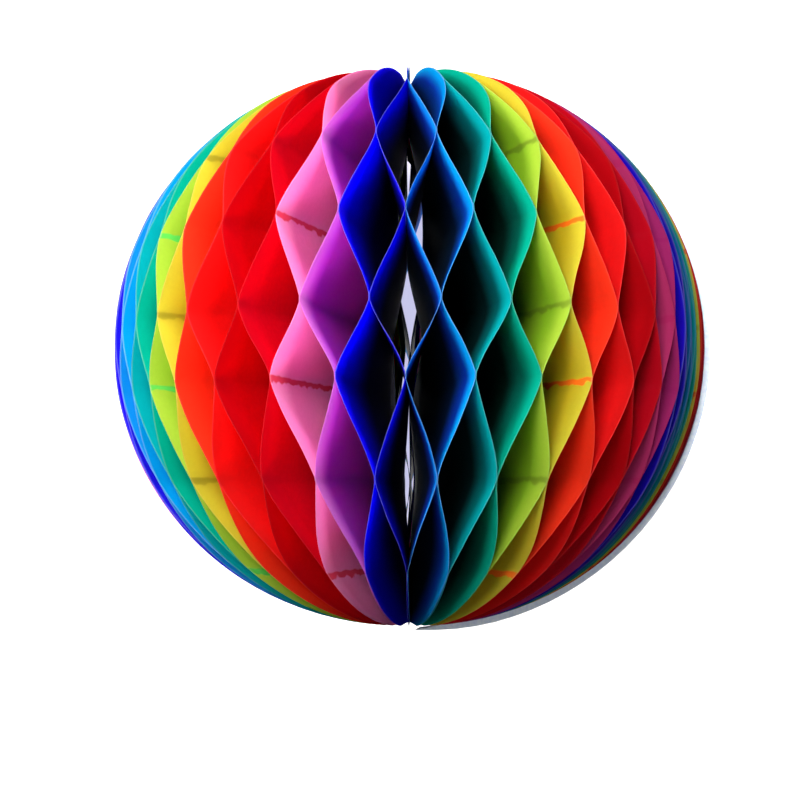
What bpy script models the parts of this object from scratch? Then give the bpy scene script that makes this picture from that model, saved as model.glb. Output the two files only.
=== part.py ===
"""Honeycomb paper ball: half-disc leaves of tissue glued in alternate rows and fanned round a spine.

The frame has +Z up along the spine and its origin at the middle of the ball. Azimuth 0 is the front
(-Y) and grows towards +X. Lengths are in metres and azimuths in degrees.
"""

import math

import bpy
from mathutils import Matrix, Vector

for old in list(bpy.data.objects):
    bpy.data.objects.remove(old, do_unlink=True)

# Paper
LEAF_THICKNESS = 0.0003     # one tissue leaf, drawn thicker than real tissue so that it is a solid
CARD_THICKNESS = 0.0005     # the two end cards that close the fan
GLUE_FILM = 0.0003          # clear space that stands for the glue between two separate pieces

# Outline of a leaf: half an oval whose straight side lies near the spine
SPINE_OFFSET = 0.0035       # the spine line to the axis
LEAF_REACH = 0.0970         # the spine line to the rim at the equator
LEAF_HALF_HEIGHT = 0.0945   # the equator to either pole
CORE_RADIUS = 0.0145        # inner edges of the leaves, round the hollow core
CROWN_WIDTH = 0.0031        # what is left of a leaf's width where it is trimmed beside the poles

# Glue rows, bottom to top: every second row joins the two leaves of one colour
GLUE_ROWS = (-0.0744, -0.0468, -0.0195, 0.0012, 0.0266, 0.0519, 0.0765)
GLUE_HALF_WIDTH = 0.0010    # half the height of one glue line
LIFT_HEIGHT = 0.0015        # height over which two glued leaves come apart
LIFT_SHARE = 0.04           # how far towards its other neighbour a leaf is by then
TIP_DRIFT = 0.12            # how far the free tips beyond the last row swing back
TIP_SHARES = (0.6, 1.0)     # bends of a tip, as shares of its height up to the trimmed crown

# The fan: colours of its pairs of leaves, and where the knots between leaves stand at the rim
COLOURS = ("blue", "sky", "teal", "yellow", "orange", "red", "pink")
REPEATS = 6                 # times that the colours come round
SEAM_RIM = 76.7             # azimuth at which the two end cards meet, at the rim
SEAM_CORE = 103.6           # the same at the core
FAN_RIM = ((17, 179.4), (41, 280.2), (51, 321.1), (58, 359.4), (62, 381.3), (67, 405.3), (70, 415.3))
FAN_CORE = ((17, 179.4), (58, 359.4))

# Where leaves stand apart at the core, so that light shines through: the glue row, the knot in the
# middle of the gap, and the degrees by which the knots before and after it make room
GAPES = (
    (6, 17, 8, 7), (5, 58, 12, 14), (5, 16, 14, 3), (4, 59, 3, 16), (4, 17, 14, 14), (3, 58, 17, 15),
    (2, 57, 14, 0), (2, 17, -4, 13), (1, 58, 6, 8), (1, 18, 3, 2), (0, 17, -6, 7))
GAPE_SPREAD = 14.0          # knots over which the push dies away
GAPE_SEAM = 16              # knots from the seam over which it dies away too

# End cards
CARD_RADIUS = 0.0965        # rim of a card about the spine line
CARD_INSET = 0.0010         # straight side of a card, outward from the leaves' inner edges
CARD_ARC_POINTS = 40

TISSUE = {                  # base colours of the tissue
    "blue": (0.010, 0.035, 0.78),
    "sky": (0.000, 0.36, 0.92),
    "teal": (0.000, 0.42, 0.27),
    "yellow": (0.72, 0.80, 0.02),
    "orange": (0.90, 0.24, 0.02),
    "red": (0.72, 0.005, 0.02),
    "pink": (0.78, 0.07, 0.46),
}
CARD_WHITE = (0.74, 0.76, 0.84)

PAIRS = len(COLOURS) * REPEATS
LEAVES = 2 * PAIRS
BALL_RADIUS = SPINE_OFFSET + LEAF_REACH
CROWN_REACH = (CORE_RADIUS + CROWN_WIDTH - SPINE_OFFSET) / LEAF_REACH
CROWN_HEIGHT = LEAF_HALF_HEIGHT * math.sqrt(1 - CROWN_REACH ** 2)
CLEAR = (LEAF_THICKNESS + GLUE_FILM) / 2                    # leaf's middle to a glue line's plane
CARD_OFFSET = (CARD_THICKNESS + GLUE_FILM) / 2              # card's middle to the seam
SEAM_OFFSET = 2 * CARD_OFFSET + GLUE_FILM / 2 + CLEAR - LEAF_THICKNESS / 2


def heading(azimuth):
    """Level unit vector away from the axis."""
    angle = math.radians(azimuth)
    return Vector((math.sin(angle), -math.cos(angle), 0))


def azimuth_of(point):
    return math.degrees(math.atan2(point.x, -point.y))


class Ray:
    """A level line from the core to the rim, on which a glue line or a card stands upright."""

    def __init__(self, start, end):
        self.start = start
        self.along = (end - start).normalized()
        self.across = Vector((-self.along.y, self.along.x, 0))

    def shifted(self, distance):
        move = self.across * distance
        return Ray(self.start + move, self.start + move + self.along)

    def at_radius(self, radius):
        """Point of the line at this distance from the axis."""
        middle = self.start.dot(self.along)
        spare = radius ** 2 - self.start.length_squared + middle ** 2
        return self.start + self.along * (math.sqrt(max(spare, 0)) - middle)


def fan_ray(core_azimuth, rim_azimuth):
    return Ray(CORE_RADIUS * heading(core_azimuth), BALL_RADIUS * heading(rim_azimuth))


def between(stops, knot):
    """Azimuth of a knot, from the stops on either side of it."""
    for (first, low), (last, high) in zip(stops, stops[1:]):
        if knot <= last:
            return low + (high - low) * (knot - first) / (last - first)
    return stops[-1][1]


def rim_radius(height):
    share = 1 - (height / LEAF_HALF_HEIGHT) ** 2
    return SPINE_OFFSET + LEAF_REACH * math.sqrt(max(share, 0))


def gape(row, knot):
    """Degrees by which a knot makes room at the core, at one glue row."""
    turn = 0
    for level, middle, before, after in GAPES:
        if level == row:
            ease = math.exp(1 / GAPE_SPREAD - abs(knot - middle) / GAPE_SPREAD)
            ease *= min(knot, LEAVES - knot, GAPE_SEAM) / GAPE_SEAM
            turn += (after if knot > middle else -before) * ease
    return turn


def leaf_stations():
    """Heights up a leaf: its same-colour row, its other row, and its share of the way between them."""
    stations = []
    last = len(GLUE_ROWS) - 1
    low, high = GLUE_ROWS[0] - GLUE_HALF_WIDTH, GLUE_ROWS[last] + GLUE_HALF_WIDTH
    for done in reversed(TIP_SHARES):
        stations.append((low - (CROWN_HEIGHT + low) * done, 1, 0, 1 - TIP_DRIFT * done))
    for row, height in enumerate(GLUE_ROWS):
        bottom, top = height - GLUE_HALF_WIDTH, height + GLUE_HALF_WIDTH
        if row % 2:
            stations += [(bottom - LIFT_HEIGHT, row, row - 1, LIFT_SHARE), (bottom, row, row - 1, 0)]
            stations += [(top, row, row + 1, 0), (top + LIFT_HEIGHT, row, row + 1, LIFT_SHARE)]
        else:
            stations += [(bottom, max(row - 1, 1), row, 1), (top, min(row + 1, last - 1), row, 1)]
    for done in TIP_SHARES:
        stations.append((high + (CROWN_HEIGHT - high) * done, last - 1, last, 1 - TIP_DRIFT * done))
    return stations


def leaf_edge(own, other, side, height, share):
    """Core and rim points of one leaf at a height. side is +1 where azimuth grows from own to other."""
    points = []
    for radius in (CORE_RADIUS, rim_radius(height)):
        near = own.at_radius(radius) + own.across * CLEAR * side
        far = other.at_radius(radius) - other.across * CLEAR * side
        points.append(near.lerp(far, share) + Vector((0, 0, height)))
    return points


def pair_sheet(knots, middle):
    """Open sheet of two leaves that share their glue strips at the middle knot."""
    points, faces = [], []
    previous = None
    for height, own_row, other_row, share in leaf_stations():
        own = knots[own_row, middle]
        if share:
            edges = [leaf_edge(own, knots[other_row, middle + side], side, height, share) for side in (-1, 1)]
        else:
            edges = [[own.at_radius(r) + Vector((0, 0, height)) for r in (CORE_RADIUS, rim_radius(height))]]
        rows = []
        for edge in edges:
            rows.append((len(points), len(points) + 1))
            points += edge
        if previous:
            for index in range(max(len(previous), len(rows))):
                low, high = previous[min(index, len(previous) - 1)], rows[min(index, len(rows) - 1)]
                faces.append((low[0], low[1], high[1], high[0]))
        previous = rows
    return points, faces


def material(name, colour, roughness):
    made = bpy.data.materials.new(name)
    made.use_nodes = True
    shader = made.node_tree.nodes["Principled BSDF"]
    shader.inputs["Base Color"].default_value = (*colour, 1)
    shader.inputs["Roughness"].default_value = roughness
    shader.inputs["Metallic"].default_value = 0
    return made


ball = bpy.data.collections.new("honeycomb_paper_ball")
bpy.context.scene.collection.children.link(ball)
tissue = {colour: material(f"tissue_{colour}", TISSUE[colour], 0.85) for colour in COLOURS}
card = material("card_white", CARD_WHITE, 0.7)

# Knots stand between leaves. The first and the last lie one card and its glue away from the seam.
seam = fan_ray(SEAM_CORE, SEAM_RIM)
first, last = seam.shifted(SEAM_OFFSET), seam.shifted(-SEAM_OFFSET)
stops = []
for radius, inner in ((CORE_RADIUS, FAN_CORE), (BALL_RADIUS, FAN_RIM)):
    start, end = azimuth_of(first.at_radius(radius)), azimuth_of(last.at_radius(radius)) + 360
    stops.append(((0, start), *inner, (LEAVES, end)))
knots = {}
for row in range(len(GLUE_ROWS)):
    for knot in range(row % 2, LEAVES + 1, 2):
        knots[row, knot] = fan_ray(between(stops[0], knot) + gape(row, knot), between(stops[1], knot))

for index in range(PAIRS):
    colour = COLOURS[index % len(COLOURS)]
    mesh = bpy.data.meshes.new(f"pair_{index + 1:02d}_{colour}")
    points, faces = pair_sheet(knots, 2 * index + 1)
    mesh.from_pydata(points, [], faces)
    mesh.materials.append(tissue[colour])
    pair = bpy.data.objects.new(mesh.name, mesh)
    ball.objects.link(pair)
    paper = pair.modifiers.new("paper", "SOLIDIFY")
    paper.solidify_mode = "NON_MANIFOLD"
    paper.nonmanifold_thickness_mode = "CONSTRAINTS"
    paper.nonmanifold_merge_threshold = 0.00001
    paper.thickness = LEAF_THICKNESS
    paper.offset = 0

# An end card is a disc cut straight a little outside the spine.
straight = CORE_RADIUS + CARD_INSET - SPINE_OFFSET
half_angle = math.acos(straight / CARD_RADIUS)
for name, side in (("card_first", 1), ("card_last", -1)):
    outline = bpy.data.curves.new(name, "CURVE")
    outline.dimensions = "2D"
    outline.fill_mode = "BOTH"
    outline.extrude = CARD_THICKNESS / 2
    spline = outline.splines.new("POLY")
    spline.points.add(CARD_ARC_POINTS - 1)
    for number, point in enumerate(spline.points):
        angle = half_angle * (2 * number / (CARD_ARC_POINTS - 1) - 1)
        x, y = CARD_RADIUS * math.cos(angle), CARD_RADIUS * math.sin(angle)
        point.co = (x - straight, y, 0, 1)
    spline.use_cyclic_u = True
    outline.materials.append(card)
    end_card = bpy.data.objects.new(name, outline)
    ball.objects.link(end_card)
    line = seam.shifted(side * CARD_OFFSET)
    foot = line.at_radius(CORE_RADIUS + CARD_INSET)
    end_card.matrix_world = Matrix.Translation(foot) @ Matrix(
        (line.along, (0, 0, 1), line.along.cross(Vector((0, 0, 1))))).transposed().to_4x4()
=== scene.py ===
# %% [markdown]
# # A honeycomb paper ball, one leaf at a time
# The ball is a fan of tissue-paper leaves round a spine. The CAD model holds every pair of leaves as
# a plain solid. This lesson keeps those solids as the frame and drapes finer paper over them: smooth
# S-shaped walls, wobbly glue lines, and light that soaks through.

# %% Load the frame
import math
from collections import namedtuple

import bpy
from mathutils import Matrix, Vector, noise


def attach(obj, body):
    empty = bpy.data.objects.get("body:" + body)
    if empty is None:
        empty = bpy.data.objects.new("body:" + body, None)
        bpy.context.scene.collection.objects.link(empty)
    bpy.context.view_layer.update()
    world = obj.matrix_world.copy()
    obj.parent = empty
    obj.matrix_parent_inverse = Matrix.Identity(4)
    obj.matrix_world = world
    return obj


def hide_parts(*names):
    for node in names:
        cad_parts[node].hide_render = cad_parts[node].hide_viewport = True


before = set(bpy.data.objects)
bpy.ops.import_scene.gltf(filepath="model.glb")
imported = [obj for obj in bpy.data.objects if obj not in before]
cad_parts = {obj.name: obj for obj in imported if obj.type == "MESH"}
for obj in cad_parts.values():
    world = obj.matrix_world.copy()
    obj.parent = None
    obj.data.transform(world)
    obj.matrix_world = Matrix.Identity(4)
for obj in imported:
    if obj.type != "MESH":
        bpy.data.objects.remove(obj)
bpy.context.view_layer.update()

# %% [markdown]
# ## Camera
# The ball hangs at eye level and is seen from a little below its middle, so the camera looks up by
# seven degrees from 40 cm away. A small lens shift puts the ball in the upper half of the picture.
# Moving the camera instead of shifting would tilt the vertical spine.

# %% Camera
VIEW_DISTANCE = 0.400       # lens to the middle of the ball, metres
VIEW_ELEVATION = -7.2       # degrees, below the horizon looks up
LENS_MM = 51.2
SENSOR_MM = 36.0
SHIFT_X, SHIFT_Y = -0.0116, -0.0648

camera_data = bpy.data.cameras.new("camera")
camera_data.lens = LENS_MM
camera_data.sensor_width = SENSOR_MM
camera_data.shift_x, camera_data.shift_y = SHIFT_X, SHIFT_Y
camera_data.clip_start = 0.01
camera = bpy.data.objects.new("camera", camera_data)
bpy.context.scene.collection.objects.link(camera)
rise = math.radians(VIEW_ELEVATION)
camera.location = (0, -VIEW_DISTANCE * math.cos(rise), VIEW_DISTANCE * math.sin(rise))
camera.rotation_euler = (math.pi / 2 - rise, 0, 0)
bpy.context.scene.camera = camera
print("camera at", tuple(round(value, 3) for value in camera.location))

# %% [markdown]
# ## Shader maths
# Finishes are easier to read as sums than as boxes and noodles. `Value` wraps one output socket and
# adds a Math node for each operator, and `Graph` adds any other node from its type, its settings and
# the values of its sockets.

# %% Shader helpers
class Value:
    """A number that changes over a surface, as one output socket."""

    def __init__(self, graph, socket):
        self.graph, self.socket = graph, socket

    def maths(self, operation, *others):
        return self.graph.node("ShaderNodeMath", {"operation": operation}, {
            index: item for index, item in enumerate((self, *others))})

    def __add__(self, other):
        return self.maths("ADD", other)

    def __mul__(self, other):
        return self.maths("MULTIPLY", other)

    def __sub__(self, other):
        return self.maths("SUBTRACT", other)

    def __rsub__(self, other):
        return (self * -1) + other

    def __truediv__(self, other):
        return self.maths("DIVIDE", other)

    def __abs__(self):
        return self.maths("ABSOLUTE")

    def greatest(self, other):
        return self.maths("MAXIMUM", other)

    def fade(self, start, end):
        """Runs smoothly from 0 to 1 as the number goes from start to end."""
        return self.graph.node("ShaderNodeMapRange", {"interpolation_type": "SMOOTHSTEP"}, {
            "Value": self, "From Min": start, "From Max": end})


class Graph:
    """The nodes of one material."""

    def __init__(self, name):
        self.material = bpy.data.materials.new(name)
        self.material.use_nodes = True
        self.tree = self.material.node_tree
        self.tree.nodes.clear()

    def node(self, kind, settings=None, sockets=None, out=0):
        made = self.tree.nodes.new(kind)
        for key, item in (settings or {}).items():
            setattr(made, key, item)
        for key, item in (sockets or {}).items():
            if isinstance(item, Value):
                self.tree.links.new(item.socket, made.inputs[key])
            else:
                made.inputs[key].default_value = item
        return Value(self, made.outputs[out])

    def mix(self, share, first, second):
        """Colour between two colours."""
        made = self.tree.nodes.new("ShaderNodeMix")
        made.data_type = "RGBA"
        for index, item in ((0, share), (6, first), (7, second)):
            if isinstance(item, Value):
                self.tree.links.new(item.socket, made.inputs[index])
            elif index:
                made.inputs[index].default_value = (*item, 1)
            else:
                made.inputs[index].default_value = item
        return Value(self, made.outputs[2])

    def finish(self, shader):
        """Ends the material with this shader on its surface."""
        output = self.tree.nodes.new("ShaderNodeOutputMaterial")
        self.tree.links.new(shader.socket, output.inputs["Surface"])
        return self.material


print("helpers ready")

# %% [markdown]
# ## Tissue paper
# Tissue is dyed through, matt, and thin enough to glow when light falls on its other side. So each
# leaf mixes a matt surface with a translucent one. Its colour drifts a little with the fibres, its
# cut edge carries a painted highlight, and where a neighbour is glued on, that neighbour's colour
# soaks through in a wobbly line. The lines are worked out from the height of a point, since the glue
# rows are level.
#
# Painted shade: blue, sky and teal paper is painted nearly black a few centimetres in from the rim,
# more than the lamps alone would make it. Every paper also gets a painted tint a little way into a
# cell, lighter or darker than at the rim, for the light and shade there. The two leaves of a pair
# are one paper, and the difference between their tints is painted light that comes through their
# neighbours. Pairs that stand crowded get painted shade too. Each piece carries that shade as a
# number, its object index, which the finish reads in hundredths.

# %% Tissue finish
GLUE_ROWS = (-0.0744, -0.0468, -0.0195, 0.0012, 0.0266, 0.0519, 0.0765)
Paper = namedtuple("Paper", "first second inner_first inner_second dark reach edge marks")
# Tints of the first and second leaf at the rim (one paper; the difference is painted light through
# the neighbours), painted light and shade tints a little further in, how dark the painted shade gets
# deep in a cell and how deep that is, how strong the painted highlight on the cut edge is, and how
# strong the glue marks are
TISSUE = {
    "blue": Paper((0.014, 0.003, 0.900), (0.012, 0.008, 0.660),
                  (0.006, 0.002, 0.800), (0.004, 0.002, 0.480), 0.92, 0.044, 0.50, (0.08, 0.05)),
    "sky": Paper((0.004, 0.270, 0.700), (0.000, 0.340, 0.720),
                 (0.004, 0.010, 0.520), (0.004, 0.020, 0.520), 0.96, 0.028, 0.50, (0.05, 0.05)),
    "teal": Paper((0.000, 0.400, 0.420), (0.000, 0.440, 0.300),
                  (0.000, 0.160, 0.150), (0.000, 0.110, 0.080), 0.98, 0.022, 0.30, (0.02, 0.02)),
    "yellow": Paper((0.440, 0.620, 0.050), (0.690, 0.600, 0.040),
                    (0.320, 0.600, 0.020), (0.640, 0.500, 0.014), 0.45, 0.034, 0.20, (0.85, 0.85)),
    "orange": Paper((0.860, 0.040, 0.012), (0.760, 0.010, 0.010),
                    (1.000, 0.034, 0.010), (1.000, 0.008, 0.010), 0.10, 0.040, 0.10, (0.03, 0.05)),
    "red": Paper((0.520, 0.000, 0.005), (0.600, 0.001, 0.014),
                 (0.860, 0.000, 0.007), (0.920, 0.001, 0.020), 0.05, 0.040, 0.05, (0.05, 0.08)),
    "pink": Paper((0.900, 0.340, 0.640), (0.800, 0.260, 0.740),
                  (1.000, 0.420, 0.740), (0.560, 0.020, 0.600), 0.05, 0.040, 0.15, (0.90, 0.15)),
}
COLOURS = tuple(TISSUE)
GLOW = 0.60                 # share of the light that passes through a surface of the paper
LEAF_HALF_HEIGHT = 0.0945
LEAF_REACH = 0.0970
SPINE_OFFSET = 0.0035
MARK_WANDER = 0.0024        # how far a glue mark wanders up and down, metres
MARK_SWELL = 0.0012         # how much its half height comes and goes
MARK_START, MARK_FULL = 0.0006, -0.0001     # distance at which it starts and is full
PAINTED_INNER_START, PAINTED_INNER_FULL = 0.001, 0.012      # depth behind the rim where the painted inner tint comes in
PAINTED_SHADE_START = 0.005         # depth at which the painted shade of a cell starts
EDGE_HIGHLIGHT_START, EDGE_HIGHLIGHT_FULL = 0.0006, 0.0001      # depth of the painted highlight on the cut edge
FIBRE_SHARE, CLOUD_SHARE = 0.25, 0.20       # strength of the fine and the coarse mottling
SEAM_SHARE = 0.7            # strength of a same-colour glue mark against that of a neighbour's
MOTTLE_TINT, SEAM_TINT, PAINTED_SHADE_TINT = 0.70, 0.30, 0.02       # each as a share of the paper's own tint
SOAK = 0.1                  # how much of the neighbour's tint shows whatever the paper's own tint is
EDGE_HIGHLIGHT_WHITE = 0.3            # white in the painted highlight on the cut edge
CROWD_SHADE_TINT = (0.24, 0.004, 0.07)            # painted shade of a crowded pair, channel by channel
BLOCKED = 0.9               # share of the passing light that a full mark or full painted crowd shade stops
DEEP_DARK = 0.9             # papers with painted shade darker than this glow in the rim's tint only


def scaled(tint, share):
    return tuple(channel * share for channel in tint)


def tissue(name, own, painted_inner, glued, paper, strength):
    """Paper of one colour with the line of its glued neighbour at every second row."""
    graph = Graph(name)
    place = graph.node("ShaderNodeTexCoord", out=3)
    parts = graph.node("ShaderNodeSeparateXYZ", {}, {0: place})
    east, north, height = (Value(graph, parts.socket.node.outputs[axis]) for axis in range(3))
    radius = (east * east + north * north).maths("SQRT")
    level = height / LEAF_HALF_HEIGHT
    rim = (1 - level * level).greatest(0.0).maths("SQRT") * LEAF_REACH + SPINE_OFFSET
    depth = rim - radius
    fibres = graph.node("ShaderNodeTexNoise", {}, {"Vector": place, "Scale": 900.0, "Detail": 3.0})
    clouds = graph.node("ShaderNodeTexNoise", {}, {"Vector": place, "Scale": 45.0, "Detail": 2.0})
    wobble = graph.node("ShaderNodeTexNoise", {}, {"Vector": place, "Scale": 260.0, "Detail": 1.0})
    line, seam = None, None
    for index, row in enumerate(GLUE_ROWS[:-1]):
        away = abs(height - row + (wobble - 0.5) * MARK_WANDER)
        mark = (away + (wobble * -MARK_SWELL)).fade(MARK_START, MARK_FULL)
        if index % 2:
            seam = mark if seam is None else seam.greatest(mark)
        else:
            line = mark if line is None else line.greatest(mark)
    mottled = scaled(own, MOTTLE_TINT)
    # Painted light and shade: the tint runs from the rim's to the painted inner tint deeper in a cell
    base = graph.mix(depth.fade(PAINTED_INNER_START, PAINTED_INNER_FULL), own, painted_inner)
    base = graph.mix(fibres.fade(0.3, 0.7) * FIBRE_SHARE, base, mottled)
    base = graph.mix(clouds.fade(0.35, 0.75) * CLOUD_SHARE, base, mottled)
    base = graph.mix(seam * (strength * SEAM_SHARE), base, scaled(own, SEAM_TINT))
    soaked = tuple(other * (SOAK + channel) for other, channel in zip(glued, own))
    base = graph.mix(line * strength, base, soaked)
    # Painted shade deep in a cell, darkest for blue, sky and teal
    painted_cell_shade = depth.fade(PAINTED_SHADE_START, paper.reach) * paper.dark
    base = graph.mix(painted_cell_shade, base, scaled(own, PAINTED_SHADE_TINT))
    # Painted highlight along the cut edge
    edge_highlight = tuple(channel * (1 - EDGE_HIGHLIGHT_WHITE) + EDGE_HIGHLIGHT_WHITE for channel in own)
    base = graph.mix(depth.fade(EDGE_HIGHLIGHT_START, EDGE_HIGHLIGHT_FULL) * paper.edge, base, edge_highlight)
    # Painted shade on crowded pairs, from the object index in percent
    painted_crowd_shade = graph.node("ShaderNodeObjectInfo", out=3) * 0.01
    base = graph.mix(painted_crowd_shade, base, tuple(channel * kept for channel, kept in zip(own, CROWD_SHADE_TINT)))
    bump = graph.node("ShaderNodeBump", {}, {
        "Strength": 0.25, "Distance": 0.0004, "Height": clouds + fibres * 0.2})
    matt = graph.node("ShaderNodeBsdfPrincipled", {}, {
        "Base Color": base, "Roughness": 0.85, "Specular IOR Level": 0.04, "Normal": bump})
    # The glow takes the painted inner tint halfway, unless the painted shade is deep
    middle = tuple((outer + deeper) / 2 for outer, deeper in zip(own, painted_inner))
    through = own if paper.dark > DEEP_DARK else middle
    glow = graph.node("ShaderNodeBsdfTranslucent", {}, {"Color": (*through, 1), "Normal": bump})
    share = (1 - painted_cell_shade) * (1 - line * (strength * BLOCKED)) * (1 - painted_crowd_shade * BLOCKED) * GLOW
    both = graph.node("ShaderNodeMixShader", {}, {0: share, 1: matt, 2: glow})
    return graph.finish(both)


finishes = {}
for number, colour in enumerate(COLOURS):
    paper = TISSUE[colour]
    before = TISSUE[COLOURS[number - 1]].second
    after = TISSUE[COLOURS[(number + 1) % len(COLOURS)]].first
    # The two leaves of a pair are one paper; their tints differ by painted light through the neighbours
    finishes[colour, 0] = tissue(
        f"tissue_{colour}_first", paper.first, paper.inner_first, before, paper, paper.marks[0])
    finishes[colour, 1] = tissue(
        f"tissue_{colour}_second", paper.second, paper.inner_second, after, paper, paper.marks[1])
print("tissue finishes:", len(finishes))

# %% [markdown]
# ## The fan
# Glue lines stand between the leaves like spokes. The rim and the seam have the CAD model's own
# values. At the core, five of the gaps are a few degrees narrower than in the CAD, to fit the slits
# of light in the photograph.

# %% Spokes of the fan
CORE_RADIUS = 0.0145
CROWN_WIDTH = 0.0031        # beyond the core, where the rim of a leaf is cut off near each pole
BALL_RADIUS = SPINE_OFFSET + LEAF_REACH
CROWN_REACH = (CORE_RADIUS + CROWN_WIDTH - SPINE_OFFSET) / LEAF_REACH
CROWN_HEIGHT = LEAF_HALF_HEIGHT * math.sqrt(1 - CROWN_REACH ** 2)
SEAM_RIM, SEAM_CORE, SEAM_OFFSET = 76.7, 103.6, 0.0011      # degrees, degrees, metres
# Knots and their azimuths, in degrees, at the rim and at the core
FAN_RIM = ((17, 179.4), (41, 280.2), (51, 321.1), (58, 359.4), (62, 381.3), (67, 405.3), (70, 415.3))
FAN_CORE = ((17, 179.4), (58, 359.4))
LEAVES = 84
# Leaves that stand apart at the core: glue row, knot in the middle, degrees given to either side
GAPES = (
    (6, 17, 3, 2), (5, 58, 12, 14), (5, 16, 14, 3), (4, 59, 3, 16), (4, 17, 14, 14), (3, 58, 17, 15),
    (2, 57, 12, 0), (2, 17, -4, 10), (1, 58, 3, 6), (1, 18, 0, 0), (0, 17, -6, 7))
GAPE_SPREAD = 14.0          # knots over which the others make room
GAPE_SEAM = 16              # knots from the seam over which that dies away too


def heading(azimuth):
    angle = math.radians(azimuth)
    return Vector((math.sin(angle), -math.cos(angle), 0))


class Spoke:
    """A level line from the core to the rim."""

    def __init__(self, start, end):
        self.start = start
        self.along = (end - start).normalized()
        self.across = Vector((-self.along.y, self.along.x, 0))

    def shifted(self, distance):
        move = self.across * distance
        return Spoke(self.start + move, self.start + move + self.along)

    def at_radius(self, radius):
        middle = self.start.dot(self.along)
        spare = radius ** 2 - self.start.length_squared + middle ** 2
        return self.start + self.along * (math.sqrt(max(spare, 0)) - middle)

    def azimuth(self, radius):
        point = self.at_radius(radius)
        return math.degrees(math.atan2(point.x, -point.y))


def between(stops, knot):
    for (first, low), (last, high) in zip(stops, stops[1:]):
        if knot <= last:
            return low + (high - low) * (knot - first) / (last - first)
    return stops[-1][1]


def gape(row, knot):
    """Degrees by which a knot makes room at the core."""
    turn = 0
    for level, middle, before, after in GAPES:
        if level == row:
            room = abs(knot - middle) - 1
            ease = math.exp(-room / GAPE_SPREAD) * min(knot, LEAVES - knot, GAPE_SEAM) / GAPE_SEAM
            turn += (after if knot > middle else -before) * ease
    return turn


seam_line = Spoke(CORE_RADIUS * heading(SEAM_CORE), BALL_RADIUS * heading(SEAM_RIM))
near, far = seam_line.shifted(SEAM_OFFSET), seam_line.shifted(-SEAM_OFFSET)
core_stops = ((0, near.azimuth(CORE_RADIUS)), *FAN_CORE, (LEAVES, far.azimuth(CORE_RADIUS) + 360))
rim_stops = ((0, near.azimuth(BALL_RADIUS)), *FAN_RIM, (LEAVES, far.azimuth(BALL_RADIUS) + 360))


def spoke(row, knot):
    core = between(core_stops, knot) + gape(row, knot)
    return Spoke(CORE_RADIUS * heading(core), BALL_RADIUS * heading(between(rim_stops, knot)))


# Same-colour glue is on the odd rows and knots, neighbour glue on the even ones
spokes = {(row, knot): spoke(row, knot)
          for row in range(len(GLUE_ROWS)) for knot in range(LEAVES + 1) if (row - knot) % 2 == 0}
print("glue lines:", len(spokes))

# %% [markdown]
# ## One leaf
# A leaf hangs on its own spoke at one row and on the next spoke at the following row. Between the
# rows it crosses over in a soft S, so a height maps to a share of the way across. Paper has no sharp
# corners here, so straight runs are blended with a smooth step.

# %% Leaf curve
PAPER = 0.00012             # thickness of a leaf
FILM = 0.00012              # middle of a leaf to its glue line
ROUNDING = 0.35             # 0 is straight walls with corners, 1 is a full smooth step
BAND = 0.0009               # half of the glued strip
TIP_DRIFT = 0.05            # how far the free tips beyond the last row swing back, less than in the CAD
INNER_RADIUS = 0.0125       # thin paper bunches up closer to the spine than the CAD solids can
LEAST_RADIUS = 0.0015       # the same at the poles
INNER_HEIGHT, INNER_STEEPNESS = 0.090, 1.3  # where and how fast the core closes towards the poles
BEND_STEPS = (0.0028, 0.0045)               # extra levels beside a glue row, metres from it
WALL_LEVELS, POLE_LEVELS = 6, 8             # levels between two rows, and from a last row to a pole


def rim_radius(height):
    share = 1 - (height / LEAF_HALF_HEIGHT) ** 2
    return SPINE_OFFSET + LEAF_REACH * math.sqrt(max(share, 0))


def inner_radius(height):
    open_share = INNER_STEEPNESS * (1 - (height / INNER_HEIGHT) ** 2)
    return max(INNER_RADIUS * min(1, open_share), LEAST_RADIUS)


def crossing(height):
    """Same-colour row and neighbour row of a height, and the share of the way between them."""
    last = len(GLUE_ROWS) - 1
    for edge, odd in ((0, 1), (last, last - 1)):
        over = height - GLUE_ROWS[edge]
        if over * (edge - odd) >= 0:
            return odd, edge, 1 - TIP_DRIFT * over / (math.copysign(CROWN_HEIGHT, height) - GLUE_ROWS[edge])
    low = max(index for index in range(last) if GLUE_ROWS[index] <= height)
    share = (height - GLUE_ROWS[low] - BAND) / (GLUE_ROWS[low + 1] - GLUE_ROWS[low] - 2 * BAND)
    share = min(max(share, 0), 1)
    smooth = share * share * (3 - 2 * share)
    share += (smooth - share) * ROUNDING
    return (low, low + 1, share) if low % 2 else (low + 1, low, 1 - share)


def heights():
    """Levels up a leaf, closer together at the glue rows and towards the poles."""
    levels = {-CROWN_HEIGHT, CROWN_HEIGHT}
    near_step, far_step = BEND_STEPS
    for row in GLUE_ROWS:
        levels.update(row + step for step in (-far_step, -near_step, -BAND, BAND, near_step, far_step))
    for index in range(len(GLUE_ROWS) - 1):
        low, high = GLUE_ROWS[index] + far_step, GLUE_ROWS[index + 1] - far_step
        spaces = WALL_LEVELS + 1
        levels.update(low + (high - low) * step / spaces for step in range(1, spaces))
    for side in (-1, 1):
        low = abs(GLUE_ROWS[0 if side < 0 else -1]) + far_step
        for step in range(1, POLE_LEVELS + 1):
            turn = math.sin(step / (POLE_LEVELS + 1) * math.pi / 2)
            levels.add(side * (low + (CROWN_HEIGHT - low) * turn))
    return sorted(levels)


LEVELS = heights()
print("levels up a leaf:", len(LEVELS))

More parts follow.
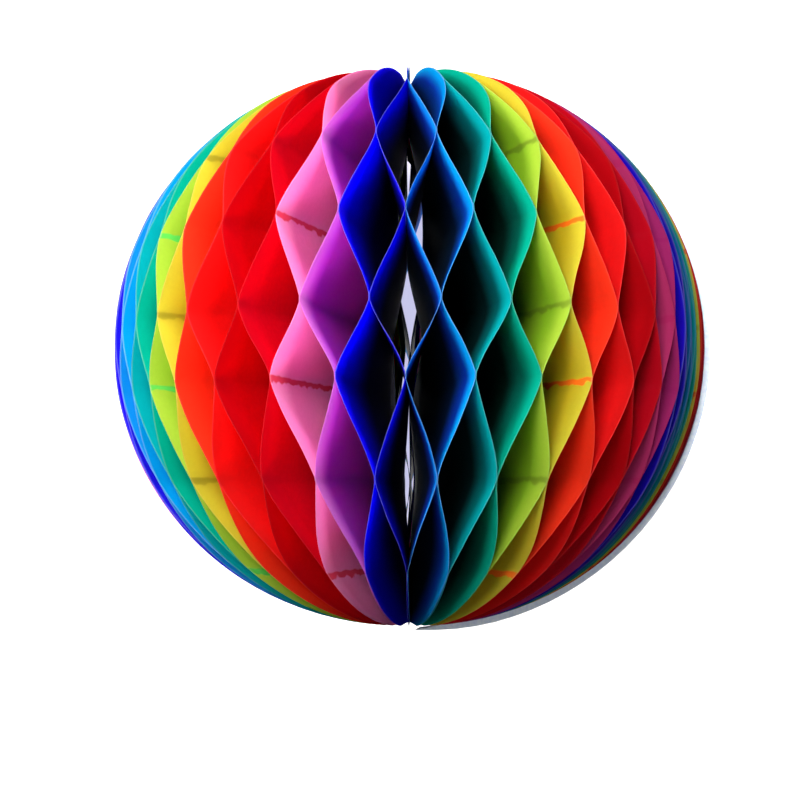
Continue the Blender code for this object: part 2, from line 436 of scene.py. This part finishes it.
# %% [markdown]
# ## Leaf mesh
# Each level is a row of points from the core out to the rim, at that level's share of the way
# between the two spokes. The free middle of a wall waves by half a millimetre or less, as paper
# does. Both leaves of a pair go into one mesh, with a material each.

# %% Leaf mesh
RADIAL_STEPS = 8
WAVE = 0.0005               # most that a free wall waves, metres


def leaf_points(middle, side, seed):
    """Grid of points of one leaf, level by level, each from the core out to the rim."""
    grid = []
    for height in LEVELS:
        odd, even, share = crossing(height)
        own, other = spokes[odd, middle], spokes[even, middle + side]
        ends = []
        rim = rim_radius(height)
        for radius in (inner_radius(height), rim):
            start = own.at_radius(radius) + own.across * FILM * side
            end = other.at_radius(radius) - other.across * FILM * side
            ends.append(start.lerp(end, share))
        free = 4 * share * (1 - share)
        row = []
        for step in range(RADIAL_STEPS + 1):
            part = step / RADIAL_STEPS
            point = ends[0].lerp(ends[1], part)
            warp = noise.noise(Vector((seed * 3.7, height * 70, part * 3))) * WAVE * free * part
            point += own.across * warp
            row.append((point.x, point.y, height))
        grid.append(row)
    return grid


def pair_mesh(name, middle):
    """Two leaves of one colour as one mesh, the first in slot 0 and the second in slot 1."""
    points, faces, slots = [], [], []
    for leaf, side in enumerate((-1, 1)):
        base = len(points)
        grid = leaf_points(middle, side, middle + leaf)
        for row in grid:
            points.extend(row)
        width = RADIAL_STEPS + 1
        for level in range(len(grid) - 1):
            for step in range(RADIAL_STEPS):
                corner = base + level * width + step
                faces.append((corner, corner + 1, corner + width + 1, corner + width))
                slots.append(leaf)
    mesh = bpy.data.meshes.new(name)
    mesh.from_pydata(points, [], faces)
    mesh.polygons.foreach_set("material_index", slots)
    mesh.polygons.foreach_set("use_smooth", [True] * len(faces))
    mesh.update()
    return mesh


# %% [markdown]
# ## Hang the pairs on the frame
# The seven colours come round six times. Every pair rides on the ball's only body and takes the
# place of its CAD solid. A modifier gives the sheet its thickness.

# %% Hang the pairs on the frame
PAIRS = LEAVES // 2
# Where the fan is crowded little light comes in: pairs there get painted shade, in percent
CROWD_SHADE = {32: 5, 33: 60, 34: 96, 35: 70, 36: 80, 37: 60, 38: 40, 39: 50, 40: 60, 41: 80}
leaves = []
for index in range(PAIRS):
    colour = COLOURS[index % len(COLOURS)]
    name = f"leaves_{index + 1:02d}_{colour}"
    mesh = pair_mesh(name, 2 * index + 1)
    for leaf in (0, 1):
        mesh.materials.append(finishes[colour, leaf])
    piece = bpy.data.objects.new(name, mesh)
    bpy.context.scene.collection.objects.link(piece)
    paper = piece.modifiers.new("paper", "SOLIDIFY")
    paper.thickness = PAPER
    paper.offset = 0
    # Painted shade of a crowded pair, in percent
    piece.pass_index = CROWD_SHADE.get(index, 0)
    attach(piece, "root")
    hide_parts(f"pair_{index + 1:02d}_{colour}")
    leaves.append(piece)
print("pairs of leaves:", len(leaves))

# %% [markdown]
# ## End cards
# Two stiff cards close the fan, one on each end of the stack. They are cut a little larger than the
# leaves, so their edge shows as a pale band round the right limb. The cards are white pulp with fine
# fibres; their blue-lavender tint is painted shade.

# %% End cards
CARD = 0.0005               # thickness
CARD_MARGIN = 0.0019        # card beyond the rim of the tissue
CARD_FOOT = 0.0012          # and more at the foot
CARD_OFFSET = 0.0006        # middle of a card to the seam
CARD_STEPS = 48             # round the rim

graph = Graph("card_white")
place = graph.node("ShaderNodeTexCoord", out=3)
pulp = graph.node("ShaderNodeTexNoise", {}, {"Vector": place, "Scale": 700.0, "Detail": 4.0})
# White pulp fibres, with a blue-lavender painted shade in both tints
card_base = graph.mix(pulp.fade(0.3, 0.7), (0.84, 0.93, 1.00), (0.70, 0.80, 0.96))
card_bump = graph.node("ShaderNodeBump", {}, {"Strength": 0.2, "Distance": 0.0002, "Height": pulp})
card = graph.node("ShaderNodeBsdfPrincipled", {}, {
    "Base Color": card_base, "Roughness": 0.7, "Specular IOR Level": 0.3, "Normal": card_bump})
card_finish = graph.finish(card)

for name, offset in (("card_first", CARD_OFFSET), ("card_last", -CARD_OFFSET)):
    line = seam_line.shifted(offset)
    points = []
    for step in range(CARD_STEPS + 1):
        turn = math.pi * (step / CARD_STEPS - 0.5)
        foot = CARD_FOOT * max(-math.sin(turn), 0) ** 8
        height = (LEAF_HALF_HEIGHT + CARD_MARGIN + foot) * math.sin(turn)
        reach = SPINE_OFFSET + (LEAF_REACH + CARD_MARGIN) * math.cos(turn)
        for radius in (min(CORE_RADIUS, reach * 0.5), reach):
            point = line.at_radius(radius)
            points.append((point.x, point.y, height))
    faces = [(2 * n, 2 * n + 1, 2 * n + 3, 2 * n + 2) for n in range(CARD_STEPS)]
    mesh = bpy.data.meshes.new(f"board_{name}")
    mesh.from_pydata(points, [], faces)
    mesh.materials.append(card_finish)
    board = bpy.data.objects.new(f"board_{name}", mesh)
    bpy.context.scene.collection.objects.link(board)
    stiff = board.modifiers.new("board", "SOLIDIFY")
    stiff.thickness = CARD
    stiff.offset = 0
    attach(board, "root")
    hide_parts(name)
print("end cards: 2")

# %% [markdown]
# ## Stage
# A white sweep stands behind and under the ball. It glows by itself, so the background stays white
# without a hard light on it. Straight behind the ball it carries a painted shadow of the ball, a dark
# lavender patch. The ball hides all of it, except for what shows through the slits at the core.

# %% Stage
FLOOR_DROP, SWEEP_BACK, SWEEP_BEND, SWEEP_HALF = -0.45, 1.6, 0.7, 4.0
SWEEP_FRONT, SWEEP_TOP, SWEEP_STEPS = -4.0, 4.0, 16
SHADOW_HEIGHT, SHADOW_START, SHADOW_END = 0.20, 0.25, 0.45     # middle of the painted shadow, and where it fades out
graph = Graph("white_sweep")
grain = graph.node("ShaderNodeTexNoise", {}, {"Scale": 3.0, "Detail": 2.0})
sweep_base = graph.mix(grain, (0.92, 0.92, 0.92), (0.95, 0.95, 0.95))
sweep_place = graph.node("ShaderNodeTexCoord", out=3)
# Painted shadow of the ball on the sweep, straight behind it
shadow_distance = graph.node("ShaderNodeVectorMath", {"operation": "DISTANCE"}, {
    0: sweep_place, 1: (0, SWEEP_BACK, SHADOW_HEIGHT)}, out=1)
sweep_base = graph.mix(shadow_distance.fade(SHADOW_START, SHADOW_END), (0.04, 0.04, 0.06), sweep_base)
sweep_glow = graph.mix(shadow_distance.fade(SHADOW_START, SHADOW_END), (0.54, 0.54, 0.78), (1.0, 1.0, 1.0))
sweep_finish = graph.node("ShaderNodeBsdfPrincipled", {}, {
    "Base Color": sweep_base, "Roughness": 0.9, "Emission Color": sweep_glow, "Emission Strength": 1.0})
sweep_white = graph.finish(sweep_finish)

profile = [(SWEEP_FRONT, FLOOR_DROP)]
for step in range(SWEEP_STEPS + 1):
    turn = math.pi / 2 * step / SWEEP_STEPS
    profile.append((SWEEP_BACK - SWEEP_BEND + SWEEP_BEND * math.sin(turn),
                    FLOOR_DROP + SWEEP_BEND - SWEEP_BEND * math.cos(turn)))
profile.append((SWEEP_BACK, SWEEP_TOP))
points = [(side * SWEEP_HALF, y, z) for y, z in profile for side in (-1, 1)]
faces = [(2 * n, 2 * n + 1, 2 * n + 3, 2 * n + 2) for n in range(len(profile) - 1)]
sweep_mesh = bpy.data.meshes.new("sweep")
sweep_mesh.from_pydata(points, [], faces)
sweep_mesh.materials.append(sweep_white)
sweep_mesh.polygons.foreach_set("use_smooth", [True] * len(faces))
sweep = bpy.data.objects.new("sweep", sweep_mesh)
bpy.context.scene.collection.objects.link(sweep)
sweep.visible_diffuse = sweep.visible_glossy = sweep.visible_transmission = False
print("sweep behind the ball")

# %% [markdown]
# ## Lights
# Two lamps from the left front model the cells, one from below lifts the lower half, and one from
# behind glows through the paper. All four are hidden from the camera, so none shows in a slit.

# %% Lights
LAMP_DISTANCE = 1.2

world = bpy.data.worlds.new("studio")
bpy.context.scene.world = world
world.use_nodes = True
world.node_tree.nodes["Background"].inputs["Color"].default_value = (0.95, 0.97, 1.0, 1)
world.node_tree.nodes["Background"].inputs["Strength"].default_value = 0.02


def softbox(name, azimuth, elevation, size, power):
    """Square lamp that faces the ball. Azimuth 0 is on the camera's side, and it grows towards +X."""
    lamp = bpy.data.lights.new(name, "AREA")
    lamp.shape = "SQUARE"
    lamp.size = size
    lamp.energy = power
    made = bpy.data.objects.new(name, lamp)
    lift = math.radians(elevation)
    aim = heading(azimuth) * math.cos(lift) + Vector((0, 0, math.sin(lift)))
    made.location = aim * LAMP_DISTANCE
    made.rotation_euler = (-made.location).to_track_quat("-Z", "Y").to_euler()
    made.visible_camera = False
    bpy.context.scene.collection.objects.link(made)


softbox("key", -50, 22, 0.5, 22)
softbox("second", -14, 22, 0.5, 25)
softbox("table", -12, -32, 0.5, 58)
softbox("wall", 180, 10, 0.8, 25)
bpy.context.scene.view_settings.view_transform = "Standard"
bpy.context.scene.view_settings.look = "None"
print("lights ready")
